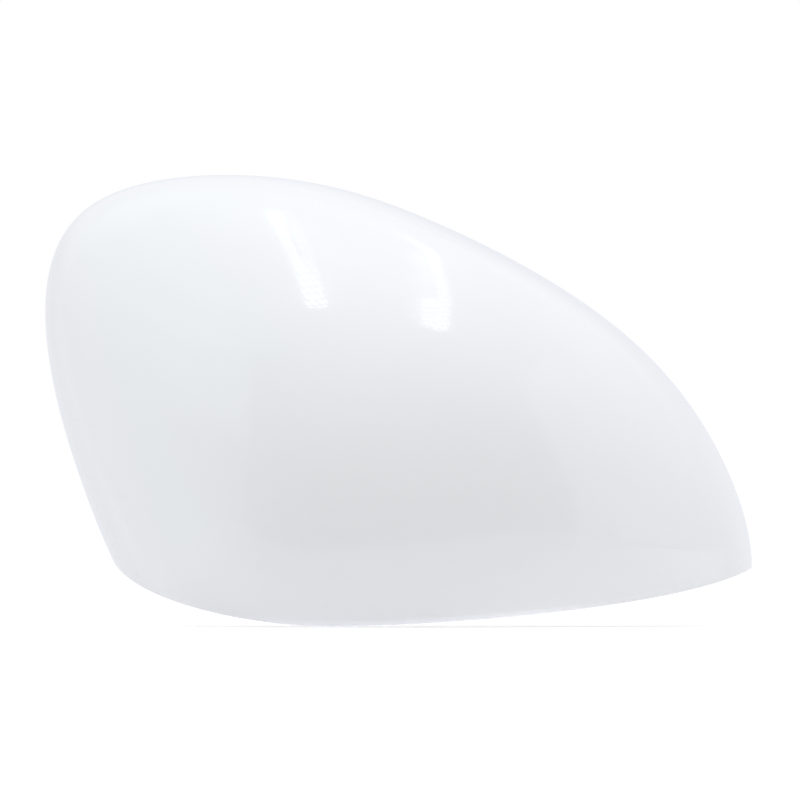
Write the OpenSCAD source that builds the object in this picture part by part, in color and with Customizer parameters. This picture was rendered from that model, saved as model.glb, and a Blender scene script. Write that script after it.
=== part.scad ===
// Wing mirror cover: the painted cap that closes the front of a door mirror head.
// One thin moulded shell, open to the rear and below, with its clips and pegs moulded on.
// Millimetres. +X points from the outboard end to the inboard tip, +Z up, and the outer
// face looks towards -Y. The origin lies in the rim plane, straight behind the crown,
// which is the foremost point of the outer face.

/* [Overall size] */
// Width from the outboard end to the inboard tip
cover_w = 212; // [190:1:230]
// Height of the upper rim above the crown
crown_to_top = 82.5; // [72:0.5:92]
// Distance of the crown in front of the rim plane
crown_depth = 72; // [62:1:82]
// Fullness of the face: 0 is an ellipse, more gives a flatter middle and squarer shoulders
face_fullness = 0.3; // [0:0.05:0.5]
// Half width of the ellipse that the face follows near the crown
crown_half_w = 102; // [90:1:110]
// Half height of that ellipse
crown_half_h = 80; // [72:1:88]

/* [Body line] */
// Guide points of the egg-shaped line of the whole mirror head in the rim plane, from the tip over the top
body_guides = [
    [111, -42], [89, 13], [55, 45], [7, 70], [-37, 85], [-103, 81],
    [-114, 39], [-97, -18], [-77, -60], [-42, -86], [23, -84], [82, -70]
]; // [across, up] from the crown, 12 pairs as drawn

/* [Lower edge] */
// Drop of the inboard tip below the crown
tip_drop = 35.5; // [30:0.5:40]
// Drop of the outboard corner below the crown
corner_drop = 33; // [28:0.5:38]
// Drop of the lowest point of the lower edge below the crown
low_drop = 52.5; // [48:0.5:58]
// Distance of the lowest point outboard of the crown
low_outboard = 24.5; // [15:0.5:35]
// Reach of the rounding at the outboard corner
corner_reach = 12.5; // [8:0.5:18]
// Reach of the flat stretch outboard of the lowest point
low_reach_out = 26; // [18:1:34]
// Reach of the flat stretch inboard of the lowest point
low_reach_in = 34.5; // [25:0.5:45]
// Run of the edge in front of the tip
tip_run = 22.5; // [15:0.5:30]
// Rise of the edge along that run
tip_rise = 11.5; // [7:0.5:14]

/* [Wall] */
// Thickness of the shell
wall = 2.5; // [2.2:0.1:3]
// Thickness left at the lip, where the inside steps out to take the mirror housing
lip_wall = 1.6; // [1.2:0.1:1.9]
// Depth of that step along the edge
lip_depth = 4; // [3:0.5:5]
// Softening of the outer edge
edge_soft = 0.5; // [0.3:0.1:0.8]

/* [Snap hooks] */
// Number of hooks along the upper rim
hook_count = 5; // [4:1:6]
// Width of a hook
hook_w = 9; // [6:1:12]
// Thickness of a hook's arm
hook_t = 2; // [1.6:0.1:2.5]
// Distance of a hook's outer face inside the body line
hook_inset = 11; // [9:0.5:14]
// Distance of a hook's end inside the rim plane
hook_recess = 8; // [5:0.5:12]
// Reach of the barb
hook_barb = 2.2; // [1.5:0.1:3]
// Length of the barb's lead-in slope
hook_lead = 4.5; // [3:0.5:6]
// Height of the gusset behind a hook
gusset_h = 12; // [8:1:15]
// Foot of the gusset towards the rim
gusset_foot = 5; // [3:0.5:6]
// Thickness of ribs and gussets
rib_t = 1.5; // [1.2:0.1:2]

/* [Guide pegs] */
// Radius of a guide peg
peg_r = 2.5; // [2:0.1:3]
// Straight length of a guide peg beyond its boss
peg_len = 12; // [8:1:16]
// Lead-in at a peg's end
peg_lead = 1; // [0.5:0.25:1.5]
// Distance of a peg's end inside the rim plane
peg_recess = 10; // [6:1:14]
// Radius of the boss under a peg
boss_r = 4.2; // [3.6:0.1:5]
// Reach of the four fins on a boss from its middle
fin_reach = 9; // [7:0.5:11]
// Drop of the fins' foot ends below the top of the boss
fin_drop = 6; // [4:1:8]
// Distance of the outboard peg outboard of the crown
out_peg_across = 62; // [50:1:70]
// Height of the outboard peg above the crown
out_peg_up = 30; // [20:1:38]
// Distance of the inboard peg inboard of the crown
in_peg_across = 60; // [50:1:68]
// Drop of the inboard peg below the crown
in_peg_drop = 8; // [0:1:14]

/* [Lower tabs] */
// Number of tabs behind the lower edge
tab_count = 3; // [2:1:4]
// Width of a tab
tab_w = 13; // [10:1:16]
// Thickness of a tab
tab_t = 2; // [1.6:0.1:2.5]
// Length of a tab above the inside of the shell
tab_len = 15; // [12:1:18]
// Height of a tab above the lower edge
tab_inset = 8; // [6:0.5:10]
// Width of the window through a tab
window_w = 7; // [5:0.5:8]
// Length of the window through a tab
window_len = 5; // [3:0.5:7]
// Distance of the window from the tab's end
window_end = 3; // [2:0.5:4]
// Height of the stiffening rib that ties the tabs together
rib_h = 5; // [3:0.5:7]

/* [Fineness] */
// Sections from the outboard corner to the tip
across_steps = 60; // [40:2:72]
// Steps of a section from the lower edge to the rim
up_steps = 22; // [14:1:26]

/* [Hidden] */
paint = "white";
guide_count = len(body_guides);
line_samples = 120;
search_steps = 26;
slope_step = 0.2;
place_step = 0.0001;
tip_search = [-0.5 / guide_count, 0.75 / guide_count];
corner_search = [6 / guide_count, 9 / guide_count];
end_cut = 0.003;
end_share = 0.02;
lip_share = 0.3;
mid_wall = 0.5;
root_samples = 6;
round_fn = 48;

// Weights of a cubic B-spline and of its slope, for the four guides around a place f along one span
function blend(f) = [
    pow(1 - f, 3),
    3 * pow(f, 3) - 6 * pow(f, 2) + 4,
    3 * f + 3 * pow(f, 2) - 3 * pow(f, 3) + 1,
    pow(f, 3)
] / 6;
function blend_slope(f) = [
    -pow(1 - f, 2),
    3 * pow(f, 2) - 4 * f,
    1 + 2 * f - 3 * pow(f, 2),
    pow(f, 2)
] * guide_count / 2;

// The four guides around a place u on the closed line, where u runs from 0 to 1 once around
function near_guides(u) = [
    for (k = [-1:2]) body_guides[(floor(u * guide_count) + k + guide_count) % guide_count]
];
function span_place(u) = u * guide_count - floor(u * guide_count);
function drawn_line(u) = blend(span_place(u)) * near_guides(u);
function drawn_slope(u) = blend_slope(span_place(u)) * near_guides(u);

// The drawn line is stretched to the named width and height
drawn_points = [for (i = [0:line_samples - 1]) drawn_line(i / line_samples)];
drawn_w = max([for (p = drawn_points) p.x]) - min([for (p = drawn_points) p.x]);
drawn_top = max([for (p = drawn_points) p.y]);
stretch = [cover_w / drawn_w, crown_to_top / drawn_top];
function body_line(u) = [drawn_line(u).x * stretch.x, drawn_line(u).y * stretch.y];
function body_slope(u) = [drawn_slope(u).x * stretch.x, drawn_slope(u).y * stretch.y];

// Place on the line, between two places, where a test of the place changes sign
function place_between(a, b, aim, test, left = search_steps) =
    left == 0 ? (a + b) / 2
    : test(aim, (a + b) / 2) > 0 ? place_between(a, (a + b) / 2, aim, test, left - 1)
    : place_between((a + b) / 2, b, aim, test, left - 1);

// Places of the tip and of the outboard corner, each at its own height, looked for near its guide
function wrap(u) = u - floor(u);
tip_place = place_between(tip_search[0], tip_search[1], -tip_drop,
    function (height, u) body_line(wrap(u)).y - height);
corner_place = place_between(corner_search[0], corner_search[1], -corner_drop,
    function (height, u) height - body_line(u).y);

// Turn from the tip's direction to the direction of a point, 0 to 360 degrees over the top
function turn_to(p) = wrap((atan2(p.y, p.x) - tip_angle) / 360) * 360;
tip_point = body_line(wrap(tip_place));
corner_point = body_line(corner_place);
tip_angle = atan2(tip_point.y, tip_point.x);

// Place on the line that lies in the direction of a point
function place_of(p) = place_between(tip_place, 1 + tip_place, turn_to(p),
    function (turn, u) turn_to(body_line(wrap(u))) - turn);

// Near the crown a level line of the face is an ellipse, and towards the rim it becomes the body line.
// The ratio is the ellipse's size over the body line's size in the direction of a place.
function ellipse_ratio(u) =
    let (b = body_line(wrap(u))) 1 / norm([b.x / crown_half_w, b.y / crown_half_h]);
function ratio_slope(u) = (ellipse_ratio(u + place_step) - ellipse_ratio(u - place_step)) / (2 * place_step);

// How far towards the body line the face has spread where it is a share r of the way down
function spread(ratio, r) = r * (ratio + (1 - ratio) * pow(r, 2));
function face_h(r) = sqrt(max(0, 1 - (1 - face_fullness) * pow(r, 2) - face_fullness * pow(r, 4)));

// Site of a point [across, up] on the face: its place in turn, and its share r
function site_of(p) =
    let (u = wrap(place_of(p)), out = norm(p) / norm(body_line(u)), ratio = ellipse_ratio(u))
        [u, out >= 1 ? 1 : place_between(0, 1, out, function (aim, r) spread(ratio, r) - aim)];
function face_y(p) = -crown_depth * face_h(site_of(p)[1]);

// Lower edge: two curves that meet level at the lowest point
low_point = [-low_outboard, -low_drop];
corner_direction = body_slope(corner_place) / norm(body_slope(corner_place));
edge_out = [
    corner_point,
    corner_point + corner_reach * corner_direction,
    low_point - [low_reach_out, 0],
    low_point
];
edge_in = [
    low_point,
    low_point + [low_reach_in, 0],
    tip_point - [tip_run, tip_rise],
    tip_point
];
function curve_at(c, t) = pow(1 - t, 3) * c[0] + 3 * t * pow(1 - t, 2) * c[1]
    + 3 * pow(t, 2) * (1 - t) * c[2] + pow(t, 3) * c[3];
out_share = (low_point.x - corner_point.x) / (tip_point.x - corner_point.x);
function lower_edge(t) = t < out_share
    ? curve_at(edge_out, t / out_share)
    : curve_at(edge_in, (t - out_share) / (1 - out_share));

// Point of the face at a site, and the face's outward direction there, which is the
// cross product of its two slopes, along the level line and down from the crown
function face_point(site) =
    let (b = body_line(site[0]) * spread(ellipse_ratio(site[0]), site[1]))
        [b.x, -crown_depth * face_h(site[1]), b.y];
function face_normal(site) =
    let (
        line = body_line(site[0]),
        ratio = ellipse_ratio(site[0]),
        r = site[1],
        size = ratio + (1 - ratio) * pow(r, 2),
        along_line = body_slope(site[0]) * size + line * ratio_slope(site[0]) * (1 - pow(r, 2)),
        outwards = line * (size + 2 * (1 - ratio) * pow(r, 2)),
        steep = crown_depth * ((1 - face_fullness) * r + 2 * face_fullness * pow(r, 3)),
        n = [steep * along_line.y, -face_h(r) * cross(outwards, along_line), -steep * along_line.x]
    ) n / norm(n);

// A section of the shell runs over the face from a point of the lower edge to a point of the rim.
// Its stations v go from 0 to 1 and crowd towards the rim, where the face turns straight back.
// The lower edge leaves the rim steeply at both ends, so its points crowd there.
function section_foot(s) = lower_edge((1 - cos(180 * s)) / 2);
function rim_place(s) = wrap(corner_place + (tip_place - corner_place) * s);
function section_site(s, v) =
    let (foot = section_foot(s), u = rim_place(s))
        v >= 1 ? [u, 1] : site_of(foot + (body_line(u) - foot) * sin(90 * v));

// Share of a section that one millimetre takes up, at its foot or at its rim
function length_share(s, v0, v1) =
    let (step = norm(face_point(section_site(s, v1)) - face_point(section_site(s, v0))))
        min(lip_share, (v1 - v0) / step);

// Closed outline of a section: over the outside, across the rim, back inside and across the lower edge
function section(s) =
    let (
        foot_share = length_share(s, 0, end_share),
        rim_share = length_share(s, 1 - end_share, 1),
        foot_lip = min(lip_share, foot_share * lip_depth),
        rim_lip = 1 - min(lip_share, rim_share * lip_depth),
        face = [
            for (j = [0:up_steps])
                let (site = section_site(s, foot_lip + (rim_lip - foot_lip) * j / up_steps))
                    [face_point(site), face_normal(site)]
        ],
        foot_site = section_site(s, 0),
        rim_site = section_site(s, 1),
        foot_end = [face_point(foot_site), face_normal(foot_site)],
        rim_end = [face_point(rim_site), face_normal(rim_site)]
    )
        concat(
            [sunk(foot_end, edge_soft)],
            [face_point(section_site(s, min(foot_lip / 2, foot_share * edge_soft)))],
            [for (f = face) f[0]],
            [face_point(section_site(s, max((1 + rim_lip) / 2, 1 - rim_share * edge_soft)))],
            [sunk(rim_end, edge_soft)],
            [sunk(rim_end, lip_wall)],
            [sunk(face[up_steps], lip_wall)],
            [for (j = [up_steps:-1:0]) sunk(face[j], wall)],
            [sunk(face[0], lip_wall)],
            [sunk(foot_end, lip_wall)]
        );
function sunk(f, depth) = f[0] - depth * f[1];

// The bare shell: a loft through its sections, from the outboard corner to the tip
module shell() {
    sections = [for (i = [0:across_steps]) section(min(1 - end_cut, max(end_cut, i / across_steps)))];
    size = len(sections[0]);
    bands = [
        for (i = [0:across_steps - 1])
            for (k = [0:size - 1])
                let (a = i * size + k, b = i * size + (k + 1) % size)
                    each [[a, b, b + size], [a, b + size, a + size]]
    ];
    outboard_cap = [for (k = [size - 1:-1:0]) k];
    tip_cap = [for (k = [0:size - 1]) across_steps * size + k];
    polyhedron([for (s = sections) each s], concat(bands, [outboard_cap, tip_cap]), convexity = 6);
}

// Direction into the shell at a point [across, up], and the depth there at a share of the wall's thickness
function wall_tilt(p) =
    let (
        across = (face_y(p + [slope_step, 0]) - face_y(p - [slope_step, 0])) / (2 * slope_step),
        up = (face_y(p + [0, slope_step]) - face_y(p - [0, slope_step])) / (2 * slope_step)
    ) [-across, 1, -up];
function wall_y(p, share) = face_y(p) + share * wall * norm(wall_tilt(p));

// Stands a flat outline, [along, depth], on the shell through a point and in a direction, as thick as named
module stand(from, direction, thick) {
    translate([from.x, 0, from.y])
        rotate([0, -direction, 0])
            linear_extrude(thick, center = true)
                children();
}
function along(from, direction, s) = from + s * [cos(direction), sin(direction)];

// Line of a foot that sits half-way into the wall, between two distances along a direction
function foot(from, direction, s0, s1) = [
    for (i = [0:root_samples])
        let (s = s0 + (s1 - s0) * i / root_samples) [s, wall_y(along(from, direction, s), mid_wall)]
];

// Hook that snaps over the edge of the mirror housing, with its gusset
module snap_hook(u) {
    rim = body_line(u);
    inward = atan2(body_slope(u).y, body_slope(u).x) + 90;
    inner = hook_inset + hook_t;
    end_y = -hook_recess;
    root = foot(rim, inward, hook_inset, inner);
    stand(rim, inward, hook_w)
        polygon(concat(root, [
            [inner, end_y - hook_lead - hook_barb],
            [inner + hook_barb, end_y - hook_lead - hook_barb / 2],
            [inner + hook_barb, end_y - hook_lead],
            [inner, end_y],
            [hook_inset, end_y]
        ]));
    foot_line = foot(rim, inward, hook_inset - gusset_foot, hook_inset + hook_t / 2);
    stand(rim, inward, rib_t)
        polygon(concat(foot_line, [
            [hook_inset + hook_t / 2, wall_y(along(rim, inward, hook_inset), 1) + gusset_h],
            [hook_inset, wall_y(along(rim, inward, hook_inset), 1) + gusset_h]
        ]));
}

// Everything behind the plane that lies half-way into the wall at a point
module above_wall(at) {
    n = wall_tilt(at);
    size = 2 * crown_depth;
    translate([at.x, wall_y(at, mid_wall), at.y])
        rotate([0, acos(n.z / norm(n)), atan2(n.y, n.x)])
            translate([-size / 2, -size / 2, 0])
                cube(size);
}

// Round peg on a finned boss, which finds its hole in the mirror housing
module guide_peg(at) {
    boss_y = -peg_recess - peg_lead - peg_len;
    translate([at.x, -peg_recess, at.y])
        rotate([90, 0, 0]) {
            cylinder(h = peg_lead, r1 = peg_r - peg_lead / 2, r2 = peg_r, $fn = round_fn);
            translate([0, 0, peg_lead])
                cylinder(h = peg_len + boss_r, r = peg_r, $fn = round_fn);
        }
    intersection() {
        translate([at.x, boss_y, at.y])
            rotate([90, 0, 0])
                cylinder(h = crown_depth + boss_y, r = boss_r, $fn = round_fn);
        above_wall(at);
    }
    for (direction = [0, 90])
        stand(at, direction, rib_t)
            polygon(concat(foot(at, direction, -fin_reach, fin_reach), [
                [fin_reach, wall_y(along(at, direction, fin_reach), 1) + rib_t],
                [boss_r, boss_y - fin_drop],
                [-boss_r, boss_y - fin_drop],
                [-fin_reach, wall_y(along(at, direction, -fin_reach), 1) + rib_t]
            ]));
}

// Flat tab with a window, which the lower housing of the mirror head catches
function tab_point(t) = lower_edge(t) + [0, tab_inset];
module lower_tab(t) {
    at = tab_point(t);
    ahead = lower_edge(t + place_step) - lower_edge(t - place_step);
    direction = atan2(ahead.y, ahead.x);
    end_y = wall_y(at, 1) + tab_len;
    stand(at, direction, tab_t)
        difference() {
            polygon(concat(foot(at, direction, -tab_w / 2, tab_w / 2), [
                [tab_w / 2, end_y],
                [-tab_w / 2, end_y]
            ]));
            translate([-window_w / 2, end_y - window_end - window_len])
                square([window_w, window_len]);
        }
}

// Low rib between two tabs
module tie_rib(from, to) {
    span = to - from;
    direction = atan2(span.y, span.x);
    line = foot(from, direction, 0, norm(span));
    crest = [for (i = [len(line) - 1:-1:0]) line[i] + [0, wall / 2 + rib_h]];
    stand(from, direction, rib_t)
        polygon(concat(line, crest));
}

module mirror_cover() {
    color(paint) {
        shell();
        for (i = [0:hook_count - 1])
            snap_hook(rim_place((i + 0.5) / hook_count));
        guide_peg([-out_peg_across, out_peg_up]);
        guide_peg([in_peg_across, -in_peg_drop]);
        for (i = [0:tab_count - 1])
            lower_tab((i + 1) / (tab_count + 1));
        for (i = [0:tab_count - 2])
            tie_rib(tab_point((i + 1) / (tab_count + 1)), tab_point((i + 2) / (tab_count + 1)));
    }
}

mirror_cover();
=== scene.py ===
# %% [markdown]
# # Wing mirror cover
# The painted cap that closes the front of a door mirror head. It is one thin moulding:
# a free-form shell, open to the rear and below, with hooks, pegs and tabs inside.
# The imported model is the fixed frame. Everything here is made in its place, in metres.

import math

import bpy
import numpy as np
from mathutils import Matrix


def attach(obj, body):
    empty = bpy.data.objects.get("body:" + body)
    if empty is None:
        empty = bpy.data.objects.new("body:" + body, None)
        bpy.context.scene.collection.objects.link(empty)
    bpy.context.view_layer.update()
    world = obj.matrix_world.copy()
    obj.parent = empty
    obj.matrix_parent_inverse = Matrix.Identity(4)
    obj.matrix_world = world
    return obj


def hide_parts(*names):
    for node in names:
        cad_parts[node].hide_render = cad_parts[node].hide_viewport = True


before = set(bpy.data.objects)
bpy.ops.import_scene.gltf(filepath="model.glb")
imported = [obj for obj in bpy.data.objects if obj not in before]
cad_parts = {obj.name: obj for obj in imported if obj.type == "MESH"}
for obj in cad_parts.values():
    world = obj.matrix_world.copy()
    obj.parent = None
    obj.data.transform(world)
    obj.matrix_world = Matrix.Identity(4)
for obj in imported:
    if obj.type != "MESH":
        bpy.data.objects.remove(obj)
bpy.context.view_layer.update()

# %% [markdown]
# ## Driving sizes
# These are the sizes of the part's source, in millimetres. A cover like this is drawn
# from the outline of the whole mirror head, so the outline's guide points come first.
# Keeping the same numbers here keeps the dressed shell on the solid one.

# %% Sizes of the cover
MM = 0.001
COVER_W = 212.0
CROWN_TO_TOP = 82.5
CROWN_DEPTH = 72.0
FACE_FULLNESS = 0.3
CROWN_HALF = np.array([102.0, 80.0])
BODY_GUIDES = np.array([
    [111, -42], [89, 13], [55, 45], [7, 70], [-37, 85], [-103, 81],
    [-114, 39], [-97, -18], [-77, -60], [-42, -86], [23, -84], [82, -70],
], float)
GUIDE_COUNT = len(BODY_GUIDES)
TIP_DROP, CORNER_DROP = 35.5, 33.0
LOW_POINT = np.array([-24.5, -52.5])
CORNER_REACH, LOW_REACH_OUT, LOW_REACH_IN = 12.5, 26.0, 34.5
TIP_RUN_AND_RISE = np.array([22.5, 11.5])
WALL, LIP_WALL, LIP_DEPTH = 2.5, 1.6, 4.0
EDGE_ROUND, INNER_ROUND = 0.5, 0.3
print("guide points:", GUIDE_COUNT)

# %% [markdown]
# ## The body line
# Seen from the front, the mirror head is egg-shaped. Arcs that meet would give an egg
# too, but on gloss paint every jump in curvature shows as a kink in a highlight. A closed
# cubic B-spline, drawn along by a few guide points, has a smooth curvature all round.

# %% Body line
DRAWN_PLACES, HALVINGS = 120, 40


def spline(u, weights):
    """Closed cubic B-spline: the four guides around place u, each times its weight."""
    place = np.asarray(u) * GUIDE_COUNT
    span = np.floor(place).astype(int)
    f = (place - span)[..., None]
    return sum(w * BODY_GUIDES[(span + k - 1) % GUIDE_COUNT] for k, w in enumerate(weights(f)))


def point_weights(f):
    """The four cubic weights of a uniform B-spline."""
    return [(1 - f) ** 3 / 6, (3 * f**3 - 6 * f**2 + 4) / 6,
            (3 * f + 3 * f**2 - 3 * f**3 + 1) / 6, f**3 / 6]


def slope_weights(f):
    """The slopes of those weights along the whole line."""
    return [w * GUIDE_COUNT / 2 for w in
            (-((1 - f) ** 2), 3 * f**2 - 4 * f, 1 + 2 * f - 3 * f**2, f**2)]


drawn = spline(np.arange(DRAWN_PLACES) / DRAWN_PLACES, point_weights)
STRETCH = np.array([COVER_W / np.ptp(drawn[:, 0]), CROWN_TO_TOP / drawn[:, 1].max()])


def body_line(u):
    """Point [across, up] of the body line at place u, stretched to the named size."""
    return spline(u, point_weights) * STRETCH


def body_slope(u):
    """Slope of the body line at place u."""
    return spline(u, slope_weights) * STRETCH


def place_at_height(low, high, height, rising):
    """Halves the stretch low..high of the line until the height lies inside it."""
    for _ in range(HALVINGS):
        middle = (low + high) / 2
        above = body_line(middle)[1] > height
        low, high = (low, middle) if above == rising else (middle, high)
    return (low + high) / 2


TIP_PLACE = place_at_height(-0.5 / GUIDE_COUNT, 0.75 / GUIDE_COUNT, -TIP_DROP, True)
CORNER_PLACE = place_at_height(6 / GUIDE_COUNT, 9 / GUIDE_COUNT, -CORNER_DROP, False)
tip_point, corner_point = body_line(TIP_PLACE), body_line(CORNER_PLACE)
print("inboard tip:", tip_point.round(2), " outboard corner:", corner_point.round(2))

# %% [markdown]
# ## The face
# The crown is the foremost point. Near it a level line of the face is an ellipse, and
# towards the rim the level lines turn into the body line, so the middle looks round and
# calm while the rim keeps its egg shape. Patches between drawn lines could be joined to
# such a face, but one formula has no seams. A site on it has a place u of the body line
# and a share r of the way out from the crown.

# %% Sites on the face
TURN_STEPS, NEWTON_ROUNDS, SMALL_STEP = 40000, 8, 1e-4


def turn_to(p):
    """Angle from the tip's direction to the direction of p, 0 to 360 over the top."""
    angle = np.degrees(np.arctan2(p[..., 1], p[..., 0]) - math.atan2(tip_point[1], tip_point[0]))
    return angle % 360


place_table = np.linspace(TIP_PLACE, 1 + TIP_PLACE, TURN_STEPS + 1)
turn_table = turn_to(body_line(place_table))
turn_table[0], turn_table[-1] = 0.0, 360.0


def ellipse_ratio(u):
    """Size of the crown's ellipse over the body line's size, in the direction of u."""
    return 1 / np.hypot(*np.moveaxis(body_line(u) / CROWN_HALF, -1, 0))


def face_height(r):
    """1 at the crown and 0 at the rim: root of 1 - (1-f) r^2 - f r^4, f the fullness."""
    return np.sqrt(np.maximum(0, 1 - (1 - FACE_FULLNESS) * r**2 - FACE_FULLNESS * r**4))


def site_of(p):
    """Place u and share r of the face's point at [across, up]: u is read from the table
    of directions, and r (ratio + (1 - ratio) r^2) = |p| / |line(u)| is solved by Newton."""
    u = np.interp(turn_to(p), turn_table, place_table)
    out = np.minimum(1, np.linalg.norm(p, axis=-1) / np.linalg.norm(body_line(u), axis=-1))
    ratio, r = ellipse_ratio(u), out.copy()
    for _ in range(NEWTON_ROUNDS):
        r = r - (r * (ratio + (1 - ratio) * r**2) - out) / (ratio + 3 * (1 - ratio) * r**2)
    return u, np.clip(r, 0, 1)


print("the crown's ellipse over the body line, at the tip:", ellipse_ratio(TIP_PLACE).round(3))

# %% [markdown]
# ## Points and directions of the face
# A site gives the point itself, and the slopes there give the direction that the face
# looks in, along which the inside of the wall is set off. The normals of a mesh would be
# near enough for light, but a wall's thickness needs the exact ones.

# %% Face surface
def face_point(u, r):
    """Point of the face: body line times its spread, at the depth of share r."""
    ratio = ellipse_ratio(u)
    flat = body_line(u) * (r * (ratio + (1 - ratio) * r**2))[..., None]
    return np.stack([flat[..., 0], -CROWN_DEPTH * face_height(r), flat[..., 1]], -1)


def face_normal(u, r):
    """Outward direction of the face: cross product of its slopes along u and along r."""
    line, ratio = body_line(u), ellipse_ratio(u)
    ratio_change = ellipse_ratio(u + SMALL_STEP) - ellipse_ratio(u - SMALL_STEP)
    ratio_slope = ratio_change / (2 * SMALL_STEP)
    size = ratio + (1 - ratio) * r**2
    along = body_slope(u) * size[..., None] + line * (ratio_slope * (1 - r**2))[..., None]
    outwards = line * (size + 2 * (1 - ratio) * r**2)[..., None]
    steep = CROWN_DEPTH * ((1 - FACE_FULLNESS) * r + 2 * FACE_FULLNESS * r**3)
    turn = outwards[..., 0] * along[..., 1] - outwards[..., 1] * along[..., 0]
    n = np.stack([steep * along[..., 1], -face_height(r) * turn, -steep * along[..., 0]], -1)
    return n / np.linalg.norm(n, axis=-1, keepdims=True)


crown_check = face_point(np.array([0.0]), np.array([0.0]))[0]
print("crown at", crown_check.round(2), "mm")

# %% [markdown]
# ## The lower edge
# The cover ends below in one long sweep, where the lower housing of the mirror takes
# over. Two cubic curves that meet level at the lowest point draw it: a rounded corner
# outboard, and a nearly straight run up to the tip inboard.

# %% Lower edge
corner_direction = body_slope(CORNER_PLACE) / np.linalg.norm(body_slope(CORNER_PLACE))
EDGE_OUT = np.array([corner_point, corner_point + CORNER_REACH * corner_direction,
                     LOW_POINT - [LOW_REACH_OUT, 0], LOW_POINT])
EDGE_IN = np.array([LOW_POINT, LOW_POINT + [LOW_REACH_IN, 0],
                    tip_point - TIP_RUN_AND_RISE, tip_point])
OUT_SHARE = (LOW_POINT[0] - corner_point[0]) / (tip_point[0] - corner_point[0])


def cubic(c, t):
    """Point of the cubic curve with the four control points c, at t from 0 to 1."""
    t = np.asarray(t)[..., None]
    return ((1 - t) ** 3 * c[0] + 3 * t * (1 - t) ** 2 * c[1]
            + 3 * t**2 * (1 - t) * c[2] + t**3 * c[3])


def lower_edge(t):
    """Point [across, up] of the lower edge, t from 0 at the corner to 1 at the tip."""
    t = np.asarray(t, float)
    out = cubic(EDGE_OUT, np.minimum(t / OUT_SHARE, 1))
    inn = cubic(EDGE_IN, np.maximum((t - OUT_SHARE) / (1 - OUT_SHARE), 0))
    return np.where((t < OUT_SHARE)[..., None], out, inn)


print("lower edge length:", round(float(np.linalg.norm(
    np.diff(lower_edge(np.linspace(0, 1, 400)), axis=0), axis=1).sum()), 1), "mm")

# %% [markdown]
# ## The shell
# The wall is a loft. Each section starts at a point of the lower edge, runs over the
# face to a point of the rim, turns round the rim's rounded edge, and comes back inside,
# past the stepped lip that takes the mirror housing. A Solidify modifier could give an
# even wall, but not the lip and the rounded edges.

# %% Sections of the shell
SECTIONS, OUTER_STATIONS, INNER_STATIONS, ROUND_STATIONS = 300, 112, 76, 5
END_CUT, END_SHARE, LIP_SHARE = 0.001, 0.02, 0.3


def section_site(s, v):
    """Site on section s at station v: v = 0 is the lower edge, v = 1 the rim. The chord
    between the two is walked by sin(90 v), which crowds the stations at the steep rim."""
    foot = lower_edge((1 - np.cos(np.pi * s)) / 2)
    rim_u = (CORNER_PLACE + (TIP_PLACE - CORNER_PLACE) * s) % 1.0
    rim = body_line(rim_u)
    u, r = site_of(foot + (rim - foot) * np.sin(np.pi / 2 * v)[..., None])
    return np.where(v >= 1, rim_u, u), np.where(v >= 1, 1.0, r)


def share_per_mm(s, v0, v1):
    """Share of a section that a millimetre takes up between two stations near its end."""
    whole = np.ones_like(s)
    span = face_point(*section_site(s, v1 * whole)) - face_point(*section_site(s, v0 * whole))
    return np.minimum((v1 - v0) / np.linalg.norm(span, axis=-1), LIP_SHARE / LIP_DEPTH)


def round_edge(size, depth, opening):
    """Quarter circle as pairs [length along the face, depth below it]. It opens from
    the edge to the face, or closes from the face to the edge."""
    a = np.radians(np.linspace(90, 0, ROUND_STATIONS))
    arc = np.stack([size * (1 - np.sin(a)), depth + size * (1 - np.cos(a))], -1)
    return arc if opening else arc[::-1]


def inner_edge():
    """The bare inside edge: a small quarter circle between the end and the lip."""
    arc = round_edge(INNER_ROUND, 0.0, True)
    return np.stack([arc[:, 0], LIP_WALL - arc[:, 1]], -1)


def lip_step():
    """The step from the thin lip to the full wall, with a rounded inner corner."""
    arc = round_edge(INNER_ROUND, 0.0, True)
    bend = np.stack([LIP_DEPTH + arc[:, 0], WALL - arc[:, 1]], -1)
    return np.concatenate([[[LIP_DEPTH, LIP_WALL]], bend])


inside_end = np.concatenate([inner_edge(), lip_step()])
print("stations from the inside edge over the lip:", len(inside_end))

# %% [markdown]
# ## Grid of the shell
# Near its ends a section's stations are lengths, because the edges and the lip have sizes
# of their own, and in between they are shares. Each station also has a depth below the
# face. Both are whole arrays, so all points of the closed skin come from one sum.

# %% Shell grid
s_grid = np.clip(np.linspace(0, 1, SECTIONS + 1), END_CUT, 1 - END_CUT)[:, None]
foot_share = share_per_mm(s_grid, 0, END_SHARE)
rim_share = share_per_mm(s_grid, 1 - END_SHARE, 1)
opening_edge, closing_edge = round_edge(EDGE_ROUND, 0.0, True), round_edge(EDGE_ROUND, 0.0, False)
out_walk = np.linspace(0, 1, OUTER_STATIONS + 2)[1:-1]
in_walk = np.linspace(0, 1, INNER_STATIONS + 2)[1:-1]
out_from, out_to = foot_share * EDGE_ROUND, 1 - rim_share * EDGE_ROUND
in_from, in_to = foot_share * inside_end[-1, 0], 1 - rim_share * inside_end[-1, 0]

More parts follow.
